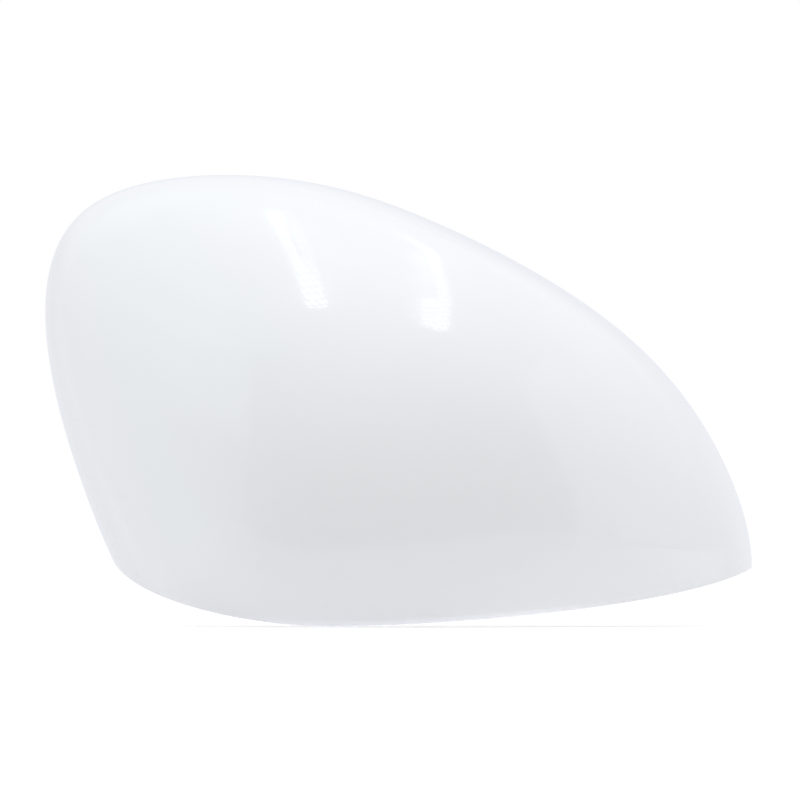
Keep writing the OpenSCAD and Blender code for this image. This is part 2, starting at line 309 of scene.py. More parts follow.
stations = np.concatenate([
    foot_share * opening_edge[:, 0],
    out_from + (out_to - out_from) * out_walk,
    1 - rim_share * closing_edge[:, 0],
    1 - rim_share * inside_end[:, 0],
    in_to + (in_from - in_to) * in_walk,
    foot_share * inside_end[::-1, 0],
], axis=1)
depths = np.concatenate([
    opening_edge[:, 1], 0 * out_walk, closing_edge[:, 1],
    inside_end[:, 1], WALL + 0 * in_walk, inside_end[::-1, 1],
])
painted_stations = 2 * ROUND_STATIONS + OUTER_STATIONS
site_u, site_r = section_site(s_grid + 0 * stations, stations)
shell_grid = face_point(site_u, site_r) - depths[None, :, None] * face_normal(site_u, site_r)
print("shell grid:", shell_grid.shape, "lowest, mm:", shell_grid.min((0, 1)).round(2),
      "highest:", shell_grid.max((0, 1)).round(2))

# %% [markdown]
# ## From arrays to a mesh
# A mesh needs points and faces. The faces of a grid follow from the numbers of its
# points alone, so they are also made as whole arrays. Smooth shading with a limit on
# the angle keeps the long faces smooth and the small steps crisp.

# %% Mesh helpers
SMOOTH_LIMIT = math.radians(38)


def new_piece(name, points_mm, faces, finishes, finish_of_face=None):
    """Object at the origin, its points given in mm, its faces as rows of point numbers."""
    mesh = bpy.data.meshes.new(name)
    mesh.from_pydata((np.asarray(points_mm) * MM).tolist(), [], faces)
    mesh.update()
    mesh.shade_smooth()
    mesh.set_sharp_from_angle(angle=SMOOTH_LIMIT)
    for finish in finishes:
        mesh.materials.append(finish)
    if finish_of_face is not None:
        mesh.polygons.foreach_set("material_index", finish_of_face.astype(np.int32))
    piece = bpy.data.objects.new(name, mesh)
    bpy.context.scene.collection.objects.link(piece)
    print(name, len(mesh.vertices), "points,", len(mesh.polygons), "faces")
    return piece


def loop_faces(rows, columns):
    """Four-sided faces of a grid whose columns close into a ring."""
    a = (np.arange(rows - 1)[:, None] * columns + np.arange(columns)[None, :])
    b = (np.arange(rows - 1)[:, None] * columns + (np.arange(columns)[None, :] + 1) % columns)
    return np.stack([a, a + columns, b + columns, b], -1).reshape(-1, 4)


print("faces between two rings of three points:", loop_faces(2, 3).tolist())

# %% [markdown]
# ## Nodes for the finishes
# A real finish is never quite even. A photograph of one could be laid on, but noise in
# Object coordinates needs no picture, stays with the piece and has no seam. The helpers
# make the few nodes that both finishes use: noise, a range, a colour and a bump. Each
# input gets a value or is joined to another node, and one function does either.

# %% Finish helpers
NOISE_RANGE = (0.3, 0.7)


def feed(tree, node, inputs):
    """Feeds inputs of a node: each gets a node's output, or else a value of its own."""
    for name, value in inputs.items():
        if isinstance(value, bpy.types.NodeSocket):
            tree.links.new(value, node.inputs[name])
        else:
            node.inputs[name].default_value = value


def new_node(tree, kind, inputs):
    """New shader node of a kind, with its inputs fed."""
    made = tree.nodes.new("ShaderNode" + kind)
    feed(tree, made, inputs)
    return made


def new_material(name):
    """Empty node material with its Principled shader and its Object coordinates."""
    material = bpy.data.materials.new(name)
    material.use_nodes = True
    tree = material.node_tree
    shader = tree.nodes["Principled BSDF"]
    place = tree.nodes.new("ShaderNodeTexCoord").outputs["Object"]
    return material, tree, shader, place


def noise(tree, place, scale, detail=2.0):
    """Noise texture at a scale in bumps per metre."""
    inputs = {"Vector": place, "Scale": scale, "Detail": detail}
    return new_node(tree, "TexNoise", inputs).outputs["Fac"]


def spread(tree, value, low, high, source=NOISE_RANGE):
    """Carries a value from its source range, that of noise if none is given, to low..high."""
    inputs = {"Value": value, "From Min": source[0], "From Max": source[1], "To Min": low, "To Max": high}
    return new_node(tree, "MapRange", inputs).outputs["Result"]


def colour_between(tree, value, first, second):
    """Colour that goes from first to second with value."""
    made = tree.nodes.new("ShaderNodeMix")
    made.data_type = "RGBA"
    feed(tree, made, {"Factor": value, "A": first, "B": second})
    return made.outputs["Result"]


def bump(tree, height, strength, distance):
    """Normal bent by a height."""
    inputs = {"Height": height, "Strength": strength, "Distance": distance}
    return new_node(tree, "Bump", inputs).outputs["Normal"]


print("usual range of noise:", NOISE_RANGE)

# %% [markdown]
# ## Gloss white paint
# The real cover is white base paint under clear lacquer. The lacquer gives the sharp
# reflections, and the paint under it a soft haze around them. A Principled shader with a
# coat does both. Sprayed lacquer is never quite flat, so a very low, broad ripple bends
# the reflections a little, and the white drifts by a shade between passes of the gun.
# One grain of dust sits in the lacquer near the lower edge.

# %% Gloss white paint
WHITE_WARM, WHITE_COOL, DRIFT_SCALE = (0.832, 0.838, 0.854, 1), (0.822, 0.831, 0.850, 1), 7.0
DUST_AT, DUST_COLOUR = (0.0084, -0.0475, -0.0489), (0.25, 0.24, 0.23, 1)
DUST_CORE, DUST_SIZE = 0.00027, 0.00045
PAINT_ROUGHNESS, ROUGHNESS_DRIFT, ROUGHNESS_SCALE = 0.15, 0.012, 60.0
LACQUER_ROUGHNESS, RIPPLE_SCALE, RIPPLE_DISTANCE = 0.02, 320.0, 0.000004


def gloss_paint():
    """White base paint under clear lacquer."""
    material, tree, shader, place = new_material("gloss_white_paint")
    drift = spread(tree, noise(tree, place, DRIFT_SCALE), 0, 1, source=(0.15, 0.85))
    white = colour_between(tree, drift, WHITE_WARM, WHITE_COOL)
    to_dust = new_node(tree, "VectorMath", {0: place, 1: DUST_AT})
    to_dust.operation = "DISTANCE"
    near = spread(tree, to_dust.outputs["Value"], 1, 0, source=(DUST_CORE, DUST_SIZE))
    rough = spread(tree, noise(tree, place, ROUGHNESS_SCALE), PAINT_ROUGHNESS - ROUGHNESS_DRIFT,
                   PAINT_ROUGHNESS + ROUGHNESS_DRIFT, source=(0.2, 0.8))
    waves = noise(tree, place, RIPPLE_SCALE, detail=1.0)
    ripple = bump(tree, waves, strength=1.0, distance=RIPPLE_DISTANCE)
    feed(tree, shader, {
        "Base Color": colour_between(tree, near, white, DUST_COLOUR),
        "Roughness": rough,
        "Normal": ripple,
        "Coat Weight": 1.0,
        "Coat Roughness": LACQUER_ROUGHNESS,
        "Coat Normal": ripple,
    })
    return material


paint = gloss_paint()
print(paint.name, "is made of", len(paint.node_tree.nodes), "nodes")

# %% [markdown]
# ## Bare moulding
# Paint is sprayed on the outside only, so the inside, the hooks and the pegs are bare
# white moulding. Moulded plastic is satin, with a fine spark-eroded grain from the
# tool and a faint cloudiness from the flow of the melt. The grain is too small for a
# mesh, so it is a bump, and the cloudiness mixes two whites.

# %% Bare satin moulding
PLASTIC_BRIGHT, PLASTIC_DULL, CLOUD_SCALE = (0.800, 0.802, 0.800, 1), (0.770, 0.774, 0.776, 1), 22.0
SATIN_SMOOTHEST, SATIN_ROUGHEST, SATIN_SCALE = 0.42, 0.52, 90.0
GRAIN_SCALE, GRAIN_STRENGTH, GRAIN_DISTANCE = 1600.0, 0.35, 0.00008


def satin_moulding():
    """Unpainted white plastic with a fine grain."""
    material, tree, shader, place = new_material("satin_white_moulding")
    cloud = spread(tree, noise(tree, place, CLOUD_SCALE, detail=3.0), 0, 1)
    grain = noise(tree, place, GRAIN_SCALE)
    feed(tree, shader, {
        "Base Color": colour_between(tree, cloud, PLASTIC_BRIGHT, PLASTIC_DULL),
        "Roughness": spread(tree, noise(tree, place, SATIN_SCALE), SATIN_SMOOTHEST, SATIN_ROUGHEST),
        "Normal": bump(tree, grain, GRAIN_STRENGTH, GRAIN_DISTANCE),
    })
    return material


moulding = satin_moulding()
print(moulding.name, "is made of", len(moulding.node_tree.nodes), "nodes")

# %% [markdown]
# ## The shell as a piece
# The paint covers the outside and wraps round the rounded edges. From the flat of the
# edge inwards the plastic is bare, so each face takes its finish from its station.

# %% Shell piece
rows, columns = shell_grid.shape[:2]
shell_faces = loop_faces(rows, columns)
face_station = np.tile(np.arange(columns), rows - 1)
bare = (face_station >= painted_stations - 1) & (face_station < columns - 1)
outboard_cap = list(range(columns))
tip_cap = list(range(rows * columns - 1, (rows - 1) * columns - 1, -1))
cover_shell = new_piece(
    "cover_shell", shell_grid.reshape(-1, 3), shell_faces.tolist() + [outboard_cap, tip_cap],
    [paint, moulding], np.concatenate([bare, [False, False]]))
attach(cover_shell, "root")
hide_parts("mirror_cover")

# %% [markdown]
# ## What stands on the inside
# The clips are flat plates and round pegs that grow out of the curved wall. Their feet
# follow the middle of the wall, so they neither float nor poke through the paint. A
# Shrinkwrap could press them on the mesh, but the face's own formula gives the depth.

# %% Feet on the wall
MID_WALL, SLOPE_STEP = 0.5, 0.2


def face_y(p):
    """Depth of the face at [across, up]."""
    return -CROWN_DEPTH * face_height(site_of(p)[1])


def face_slope(p, step):
    """Slope of that depth, from a step to each side."""
    return (face_y(p + step) - face_y(p - step)) / (2 * SLOPE_STEP)


def wall_y(p, share):
    """Depth of the wall at [across, up], at a share of its thickness below the face. The
    wall is thicker along the depth where the face slopes: root of 1 + slopes squared."""
    p = np.asarray(p, float)
    across, up = face_slope(p, [SLOPE_STEP, 0]), face_slope(p, [0, SLOPE_STEP])
    return face_y(p) + share * WALL * np.sqrt(1 + across**2 + up**2)


def foot_line(start, turn, s0, s1, samples=9):
    """Points [along, depth] in the middle of the wall, along a direction from start."""
    s = np.linspace(s0, s1, samples)
    return np.stack([s, wall_y(start + s[:, None] * turn, MID_WALL)], -1)


print("middle of the wall behind the crown, mm:", round(float(wall_y([0, 0], MID_WALL)), 2))

# %% [markdown]
# ## Plates
# Hooks, gussets, fins, ribs and tabs are flat outlines with a thickness. One helper
# raises any of them to a closed plate. Clips of one kind are one piece, and a small bevel
# takes off their sharp edges, as the moulding tool's own rounding does.

# %% Plates and clip pieces
BEVEL_WIDTH, BEVEL_LIMIT = 0.00022, math.radians(50)


def plate(outline, cells, start, turn, thick):
    """Raises flat cells to a closed plate. A point [along, depth] of the outline becomes
    start + along x turn across the cover, at its depth, half the thickness to each side."""
    side = np.array([-turn[1], turn[0]])
    sides = []
    for shift in (-thick / 2, thick / 2):
        flat = start + outline[:, :1] * turn + shift * side
        sides.append(np.stack([flat[:, 0], outline[:, 1], flat[:, 1]], -1))
    count = len(outline)
    edges = [(c[i], c[(i + 1) % len(c)]) for c in cells for i in range(len(c))]
    border = [e for e in edges if (e[1], e[0]) not in set(edges)]
    faces = [list(c) for c in cells] + [[i + count for i in reversed(c)] for c in cells]
    faces += [[b, a, a + count, b + count] for a, b in border]
    return np.concatenate(sides), faces


def gathered(parts):
    """Several closed meshes as one list of points and one of faces."""
    starts = np.cumsum([0] + [len(points) for points, _ in parts])
    points = np.concatenate([points for points, _ in parts])
    faces = [[i + start for i in face] for start, (_, own_faces) in zip(starts, parts)
             for face in own_faces]
    return points, faces


def clip_piece(name, parts):
    """A piece of bare moulding, with a small bevel, that rides with the cover."""
    points, faces = gathered(parts)
    piece = new_piece(name, points, faces, [moulding])
    bevel = piece.modifiers.new("small_bevel", "BEVEL")
    bevel.width, bevel.segments, bevel.limit_method = BEVEL_WIDTH, 2, "ANGLE"
    bevel.angle_limit = BEVEL_LIMIT
    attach(piece, "root")
    return piece


print("bevel of a clip, mm:", round(BEVEL_WIDTH / MM, 2))

# %% [markdown]
# ## Snap hooks
# Five hooks along the upper rim catch the edge of the mirror housing. Each is an arm
# with a barb and a sloping lead-in, and a gusset behind it that keeps it from bending
# the wrong way. Arm and gusset are outlines in one plane, across the rim.

# %% Snap hooks
HOOK_COUNT, HOOK_W, HOOK_T, HOOK_INSET, HOOK_RECESS = 5, 9.0, 2.0, 11.0, 8.0
HOOK_BARB, HOOK_LEAD, GUSSET_H, GUSSET_FOOT, RIB_T = 2.2, 4.5, 12.0, 5.0, 1.5


def snap_hook(u):
    """Arm and gusset of the hook at place u of the rim."""
    rim, slope = body_line(u), body_slope(u) / np.linalg.norm(body_slope(u))
    inward = np.array([-slope[1], slope[0]])
    inner, end_y, barb_y = HOOK_INSET + HOOK_T, -HOOK_RECESS, -HOOK_RECESS - HOOK_LEAD
    arm = np.concatenate([foot_line(rim, inward, HOOK_INSET, inner), [
        [inner, barb_y - HOOK_BARB], [inner + HOOK_BARB, barb_y - HOOK_BARB / 2],
        [inner + HOOK_BARB, barb_y], [inner, end_y], [HOOK_INSET, end_y]]])
    crest = wall_y(rim + HOOK_INSET * inward, 1) + GUSSET_H
    mid_arm = HOOK_INSET + HOOK_T / 2
    gusset = np.concatenate([foot_line(rim, inward, HOOK_INSET - GUSSET_FOOT, mid_arm), [
        [mid_arm, crest], [HOOK_INSET, crest]]])
    return [plate(arm, [range(len(arm))], rim, inward, HOOK_W),
            plate(gusset, [range(len(gusset))], rim, inward, RIB_T)]


hook_shares = (np.arange(HOOK_COUNT) + 0.5) / HOOK_COUNT
hook_places = (CORNER_PLACE + (TIP_PLACE - CORNER_PLACE) * hook_shares) % 1
snap_hooks = clip_piece("snap_hooks", [part for u in hook_places for part in snap_hook(u)])

# %% [markdown]
# ## Guide pegs
# Two round pegs find their holes in the mirror's carrier before the hooks snap in.
# Each stands on a boss with four fins. Peg and boss are one profile turned round an
# axis, and the boss's lowest ring follows the slope of the wall.

# %% Guide pegs
PEG_R, PEG_LEN, PEG_LEAD, PEG_RECESS, BOSS_R = 2.5, 12.0, 1.0, 10.0, 4.2
FIN_REACH, FIN_DROP, PEG_SIDES = 9.0, 6.0, 48
PEG_PLACES = np.array([[-62.0, 30.0], [60.0, -8.0]])
BOSS_Y = -PEG_RECESS - PEG_LEAD - PEG_LEN


def turned_peg(at):
    """Rings of radius and depth round the peg's axis, from the wall to the peg's end."""
    angle = np.linspace(0, 2 * np.pi, PEG_SIDES, endpoint=False)
    ring = np.stack([np.cos(angle), np.sin(angle)], -1)
    radii = [BOSS_R, BOSS_R, PEG_R, PEG_R, PEG_R - PEG_LEAD / 2]
    heights = [wall_y(at + BOSS_R * ring, MID_WALL)] + [
        np.full(PEG_SIDES, y) for y in (BOSS_Y, BOSS_Y, -PEG_RECESS - PEG_LEAD, -PEG_RECESS)]
    rings = [np.stack([at[0] + r * ring[:, 0], y, at[1] + r * ring[:, 1]], -1)
             for r, y in zip(radii, heights)]
    faces = loop_faces(len(rings), PEG_SIDES).tolist()
    last = (len(rings) - 1) * PEG_SIDES
    faces += [list(range(PEG_SIDES)), list(range(last + PEG_SIDES - 1, last - 1, -1))]
    return np.concatenate(rings), faces


def boss_fin(at, turn):
    """Fin through a boss: low at its ends and up to just under the top of the boss."""
    foot = foot_line(at, turn, -FIN_REACH, FIN_REACH, samples=15)
    ends = [wall_y(at + side * FIN_REACH * turn, 1) + RIB_T for side in (1, -1)]
    top = [[FIN_REACH, ends[0]], [BOSS_R, BOSS_Y - FIN_DROP],
           [-BOSS_R, BOSS_Y - FIN_DROP], [-FIN_REACH, ends[1]]]
    outline = np.concatenate([foot, top])
    return plate(outline, [range(len(outline))], at, turn, RIB_T)


peg_parts = [part for at in PEG_PLACES for part in
             (turned_peg(at), boss_fin(at, np.array([1.0, 0.0])), boss_fin(at, np.array([0.0, 1.0])))]
guide_pegs = clip_piece("guide_pegs", peg_parts)

# %% [markdown]
# ## Lower tabs
# Three windowed tabs behind the lower edge let the lower housing snap in from below,
# and a low rib ties them together. A tab is a grid of cells with the window's cell left
# out, which gives a clean hole without cutting.

# %% Lower tabs
TAB_COUNT, TAB_W, TAB_T, TAB_LEN, TAB_INSET = 3, 13.0, 2.0, 15.0, 8.0
WINDOW_W, WINDOW_LEN, WINDOW_END, RIB_H = 7.0, 5.0, 3.0, 5.0
TAB_STEPS = (np.arange(TAB_COUNT) + 1) / (TAB_COUNT + 1)


def tab_point(t):
    """Middle of a tab's foot, above the lower edge."""
    return lower_edge(t) + [0, TAB_INSET]


def lower_tab(t):
    """Grid of 4 columns and 4 heights between foot and end, without the window's cell."""
    at = tab_point(t)
    ahead = lower_edge(t + SMALL_STEP) - lower_edge(t - SMALL_STEP)
    turn = ahead / np.linalg.norm(ahead)
    end_y = float(wall_y(at, 1)) + TAB_LEN
    across = np.array([-TAB_W / 2, -WINDOW_W / 2, WINDOW_W / 2, TAB_W / 2])
    foot = wall_y(at + across[:, None] * turn, MID_WALL)
    tops = [end_y - WINDOW_END - WINDOW_LEN, end_y - WINDOW_END, end_y]
    levels = [foot] + [np.full(4, y) for y in tops]
    outline = np.concatenate([np.stack([across, y], -1) for y in levels])
    cells = [[4 * j + i, 4 * j + i + 1, 4 * j + i + 5, 4 * j + i + 4]
             for j in range(3) for i in range(3) if (i, j) != (1, 1)]
    return plate(outline, cells, at, turn, TAB_T)


def tie_rib(first, second):
    """Low rib on the wall between two tabs."""
    start, span = tab_point(first), tab_point(second) - tab_point(first)
    length = np.linalg.norm(span)
    foot = foot_line(start, span / length, 0, length, samples=12)
    outline = np.concatenate([foot, foot[::-1] + [0, WALL / 2 + RIB_H]])
    return plate(outline, [range(len(outline))], start, span / length, RIB_T)


tab_parts = [lower_tab(t) for t in TAB_STEPS]
tab_parts += [tie_rib(a, b) for a, b in zip(TAB_STEPS[:-1], TAB_STEPS[1:])]
lower_tabs = clip_piece("lower_tabs", tab_parts)

# %% [markdown]
# ## The light tent
# Gloss paint shows its surroundings, so the surroundings are half of the picture. The
# photograph was taken in a small light tent. Its ceiling glows, two rows of small lamps
# run along it, and the camera looks in through a dark opening in front. One picture
# wrapped round the scene could be mirrored too, but flat cards keep every wall a few
# numbers that can be set one by one. A wall has a level, and swells add to it where the cloth
# is nearer to a lamp. Each swell is a height times smooth ramps along the axes, so nodes
# for sums and ramps come first.

# %% Sums and ramps in nodes
ACROSS, BACK, UP = 0, 1, 2


def combined(tree, operation, first, second):
    """Sum, product or larger one of two values."""
    made = new_node(tree, "Math", {0: first, 1: second})
    made.operation = operation
    return made.outputs["Value"]


def along_axes(tree, vector):
    """The three numbers of a vector, in the order across, back, up."""
    return new_node(tree, "SeparateXYZ", {"Vector": vector}).outputs


def smooth_ramp(tree, value, start, full):
    """0 at start and 1 at full, with soft ends."""
    ramp = spread(tree, value, 0.0, 1.0, (start, full))
    ramp.node.interpolation_type = "SMOOTHSTEP"
    return ramp


def ramp_product(tree, height, axes, ramps):
    """A height times its ramps, each the number of an axis and the places of its 0 and 1."""
    for axis, start, full in ramps:
        height = combined(tree, "MULTIPLY", height, smooth_ramp(tree, axes[axis], start, full))
    return height


print("a ramp's axis: across", ACROSS, "back", BACK, "up", UP)

# %% [markdown]
# ## A glowing card
# A card is one face with an Emission shader. An area lamp would show in the gloss too,
# but as one even patch that also lights the paint. Only the rays that the gloss sends out
# find a card, so it can be uneven and throws no light on anything. The cloth is a cooler
# white towards the outboard front, so its tint has ramps of its own.

# %% Card helpers
PLAIN, COOL, VIOLET = (0.99, 1.0, 1.06, 1), (0.82, 1.0, 1.06, 1), (1.0, 1.0, 1.10, 1)
SIDE_TINT = (COOL, [(ACROSS, 0.15, -0.35), (BACK, 0.45, 0.0)])


def card_material(name, level, swells=(), own_glow=None, tint=SIDE_TINT):
    """Glowing card: a level, with swells added (each a height and its ramps), and a tint
    with its own ramps over a plain white. Places are in m. With own_glow, the glow that
    its nodes make takes the level's place and is added to what is seen through the card."""
    material = bpy.data.materials.new(name)
    material.use_nodes = True
    material.cycles.emission_sampling = "NONE"
    tree = material.node_tree
    tree.nodes.clear()
    axes = along_axes(tree, tree.nodes.new("ShaderNodeTexCoord").outputs["Object"])
    tinted = colour_between(tree, ramp_product(tree, 1.0, axes, tint[1]), PLAIN, tint[0])
    total = level if own_glow is None else own_glow(tree)
    for height, ramps in swells:
        total = combined(tree, "ADD", total, ramp_product(tree, height, axes, ramps))
    glow = new_node(tree, "Emission", {"Color": tinted, "Strength": total}).outputs["Emission"]
    if own_glow is not None:
        clear = tree.nodes.new("ShaderNodeBsdfTransparent").outputs["BSDF"]
        glow = new_node(tree, "AddShader", {0: glow, 1: clear}).outputs["Shader"]
    new_node(tree, "OutputMaterial", {"Surface": glow})
    return material


def only_for_gloss(card):
    """A card that is seen in reflections and lights nothing else."""
    card.visible_camera = card.visible_diffuse = card.visible_shadow = False
    card.visible_volume_scatter = False
    return card


def flat_card(name, corners_mm, level, swells=(), **kinds):
    """Card with the given corners. Its kinds are own_glow and tint."""
    return only_for_gloss(new_piece(name, corners_mm, [list(range(len(corners_mm)))],
                                    [card_material(name, level, swells, **kinds)]))


print("tints: plain", PLAIN, "cool", COOL, "violet", VIOLET)

# %% [markdown]
# ## Ceiling of the tent
# The ceiling is the brightest wall, and its cloth sags in soft folds. Its level rises
# towards the camera and between the lamps, and low swells follow the folds. All the
# heights were found by rendering and comparing with the photograph, wall by wall.

# %% Tent ceiling
TENT_X, FRONT_Y, REAR_Y, CEILING_Z, GROUND_Z = 700.0, -602.0, 400.0, 300.0, -400.0
CEILING_LEVEL = 1.03
CEILING_SWELLS = [
    (0.4, [(BACK, 0.4, -0.2)]),
    (0.04, [(ACROSS, -0.2, -0.45)]),
    (-0.07, [(ACROSS, 0.15, -0.2), (BACK, 0.0, 0.3)]),
    (0.09, [(ACROSS, -0.2, -0.42), (ACROSS, -0.58, -0.45), (BACK, 0.0, 0.15), (BACK, 0.42, 0.27)]),
    (0.12, [(ACROSS, -0.38, -0.26), (ACROSS, -0.16, -0.24), (BACK, 0.0, -0.15), (BACK, -0.45, -0.3)]),
    (0.15, [(ACROSS, -0.26, -0.06), (ACROSS, 0.18, 0.0), (BACK, 0.1, -0.05), (BACK, -0.5, -0.25)]),
    (-0.16, [(ACROSS, 0.02, 0.25), (BACK, 0.05, -0.4)]),
    (0.1, [(ACROSS, -0.42, -0.6), (BACK, 0.12, 0.28)]),
    (-0.06, [(ACROSS, 0.08, 0.15), (ACROSS, 0.25, 0.17), (BACK, -0.05, 0.05), (BACK, 0.28, 0.16)]),
    (0.06, [(ACROSS, -0.38, -0.28), (ACROSS, -0.14, -0.22), (BACK, 0.0, 0.06), (BACK, 0.22, 0.14)]),
    (0.06, [(ACROSS, -0.3, -0.12), (ACROSS, 0.14, 0.04), (BACK, 0.26, 0.12), (BACK, -0.1, 0.0)]),
    (-0.07, [(BACK, -0.28, -0.42), (BACK, -0.62, -0.5), (ACROSS, -0.3, -0.18), (ACROSS, 0.18, 0.05)]),
    (-0.08, [(ACROSS, 0.38, 0.6), (BACK, 0.2, 0.0), (BACK, -0.5, -0.15)]),
    (-0.22, [(BACK, -0.38, -0.62), (ACROSS, -0.42, -0.3), (ACROSS, 0.4, 0.3)]),
    (-0.1, [(BACK, -0.38, -0.62), (ACROSS, 0.3, 0.4)]),
    (0.17, [(ACROSS, -0.1, 0.0), (ACROSS, 0.1, 0.05), (BACK, -0.02, -0.09), (BACK, -0.25, -0.16)]),
    (-0.1, [(ACROSS, -0.22, -0.16), (ACROSS, -0.09, -0.14), (BACK, 0.09, 0.03), (BACK, -0.09, -0.03)]),
    (0.07, [(ACROSS, 0.08, 0.13), (ACROSS, 0.21, 0.15), (BACK, -0.12, -0.19), (BACK, -0.33, -0.26)]),
]


def level_sheet(name, height, level, swells, **kinds):
    """Level sheet over the whole tent, at a height."""
    corners = [(-TENT_X, FRONT_Y, height), (TENT_X, FRONT_Y, height),
               (TENT_X, REAR_Y, height), (-TENT_X, REAR_Y, height)]
    return flat_card(name, corners, level, swells, **kinds)


level_sheet("tent_ceiling", CEILING_Z, CEILING_LEVEL, CEILING_SWELLS)

# %% [markdown]
# ## Walls and ground of the tent
# The rear wall is plain white. The side walls grow darker towards the camera, and the
# front wall grows brighter towards the ceiling. The ground is bright in the middle of
# its front, where the lamps shine on it, and that is what the lower face mirrors.

# %% Tent walls and ground
def upright_wall(name, start, end, level, swells, **kinds):
    """Wall from start to end, each [across, back], between the ground and the ceiling."""
    corners = [(*start, GROUND_Z), (*end, GROUND_Z), (*end, CEILING_Z), (*start, CEILING_Z)]
    return flat_card(name, corners, level, swells, **kinds)


upright_wall("tent_rear", (-TENT_X, REAR_Y), (TENT_X, REAR_Y), 0.86, [
    (0.11, [(UP, 0.12, 0.3)]),
    (0.1, [(UP, -0.1, -0.35)]),
    (0.06, [(ACROSS, 0.05, 0.4)]),
    (0.1, [(ACROSS, -0.35, -0.65)]),
], tint=(PLAIN, []))
upright_wall("tent_outboard", (-TENT_X, FRONT_Y), (-TENT_X, REAR_Y), 1.02, [
    (0.24, [(UP, 0.0, 0.28)]),
    (0.13, [(UP, -0.2, -0.4)]),
    (0.09, [(UP, -0.06, 0.06), (BACK, 0.22, -0.05)]),
    (-0.31, [(BACK, -0.2, -0.6), (UP, 0.18, -0.1)]),
    (-0.09, [(BACK, 0.0, 0.4)]),
    (-0.1, [(BACK, -0.1, 0.4), (UP, 0.0, 0.28)]),
], tint=(COOL, [(BACK, 0.3, -0.2)]))
upright_wall("tent_inboard", (TENT_X, FRONT_Y), (TENT_X, REAR_Y), 0.88, [
    (0.28, [(UP, 0.0, 0.28)]),
    (-0.14, [(BACK, -0.2, -0.6), (UP, 0.15, 0.0)]),
    (-0.15, [(BACK, -0.1, 0.4), (UP, 0.0, 0.28)]),
])
upright_wall("tent_front", (-TENT_X, FRONT_Y), (TENT_X, FRONT_Y), 0.71, [
    (0.46, [(UP, -0.1, 0.3)]),
    (0.11, [(ACROSS, -0.3, -0.5)]),
    (-0.3, [(ACROSS, -0.68, -0.45), (ACROSS, -0.22, -0.36), (UP, 0.14, -0.11)]),
    (-0.05, [(ACROSS, -0.4, -0.25), (UP, 0.0, -0.2)]),
    (-0.05, [(ACROSS, 0.35, 0.5), (UP, 0.0, 0.15)]),
    (-0.08, [(ACROSS, 0.62, 0.44), (UP, 0.12, -0.05)]),
    (-0.1, [(ACROSS, -0.66, -0.5), (UP, -0.2, -0.33)]),
])
level_sheet("tent_ground", GROUND_Z, 0.6, [
    (1.25, [(BACK, -0.62, -0.08)]),
    (-0.85, [(ACROSS, -0.02, -0.65), (BACK, -0.62, -0.08)]),
    (-0.93, [(ACROSS, 0.05, 0.65), (BACK, -0.62, -0.08)]),
    (0.18, [(ACROSS, -0.35, -0.68)]),
    (0.22, [(ACROSS, 0.15, 0.6)]),
    (-0.08, [(ACROSS, -0.02, -0.2), (ACROSS, -0.56, -0.42), (BACK, -0.26, -0.38), (BACK, -0.6, -0.5)]),
    (0.6, [(BACK, -0.25, -0.14), (ACROSS, -0.38, -0.08), (ACROSS, 0.3, 0.12)]),
    (0.9, [(BACK, -0.33, -0.13), (ACROSS, -0.3, -0.1), (ACROSS, 0.3, 0.12)]),
], tint=(VIOLET, []))

# %% [markdown]
# ## Opening and folds
# The opening is dark near the ground and fades into the bright ceiling. On the inboard
# side the cloth is folded. It is lighter under the fold, and the fold itself is a thin
# dark line that runs on over the front wall. A second fold goes over the ceiling, from
# the opening's upper corner. These cards hang a few millimetres before the walls, each
# in a layer of its own, so that a nearer one covers a farther one cleanly.

# %% Opening and folds
OPENING = [(-482, -263), (-430, -96), (-397, 39), (-381, 153), (-362, 298), (309, 298), (325, 160),
           (367, 11), (423, -101), (437, -215), (434, -286), (362, -290), (237, -287), (145, -288),
           (63, -296), (-19, -307), (-163, -331), (-325, -381), (-390, -398), (-500, -398), (-509, -364)]
FOLD = [(FRONT_Y, -382), (-501, -335), (-182, -184), (232, -53), (REAR_Y, 0),
        (REAR_Y, GROUND_Z), (FRONT_Y, GROUND_Z)]
FOLD_LINE = [(-601, -379), (-501, -331), (-356, -266), (-182, -187), (-40, -131),
             (-182, -178), (-356, -256), (-501, -321), (-601, -369)]
FRONT_LINE = [(495, -355), (TENT_X, -383), (TENT_X, -373), (495, -345)]
FRONT_FOLD = [(440, -300), (515, -340), (TENT_X, -382), (TENT_X, GROUND_Z), (440, GROUND_Z)]
CEILING_FOLD = [(260, -132), (270, -278), (286, -418), (316, FRONT_Y), (TENT_X, FRONT_Y), (TENT_X, -132)]
FOLD_LINE_LEVEL = 0.2


def on_front(points, layer):
    """Corners [across, up] on the front wall, a layer in mm before it."""
    return [(x, FRONT_Y + layer, z) for x, z in points]


def on_inboard(points, layer):
    """Corners [back, up] on the inboard wall, a layer in mm before it."""
    return [(TENT_X - layer, y, z) for y, z in points]


def on_ceiling(points, layer):
    """Corners [across, back] under the ceiling, a layer in mm below it."""
    return [(x, y, CEILING_Z - layer) for x, y in points]


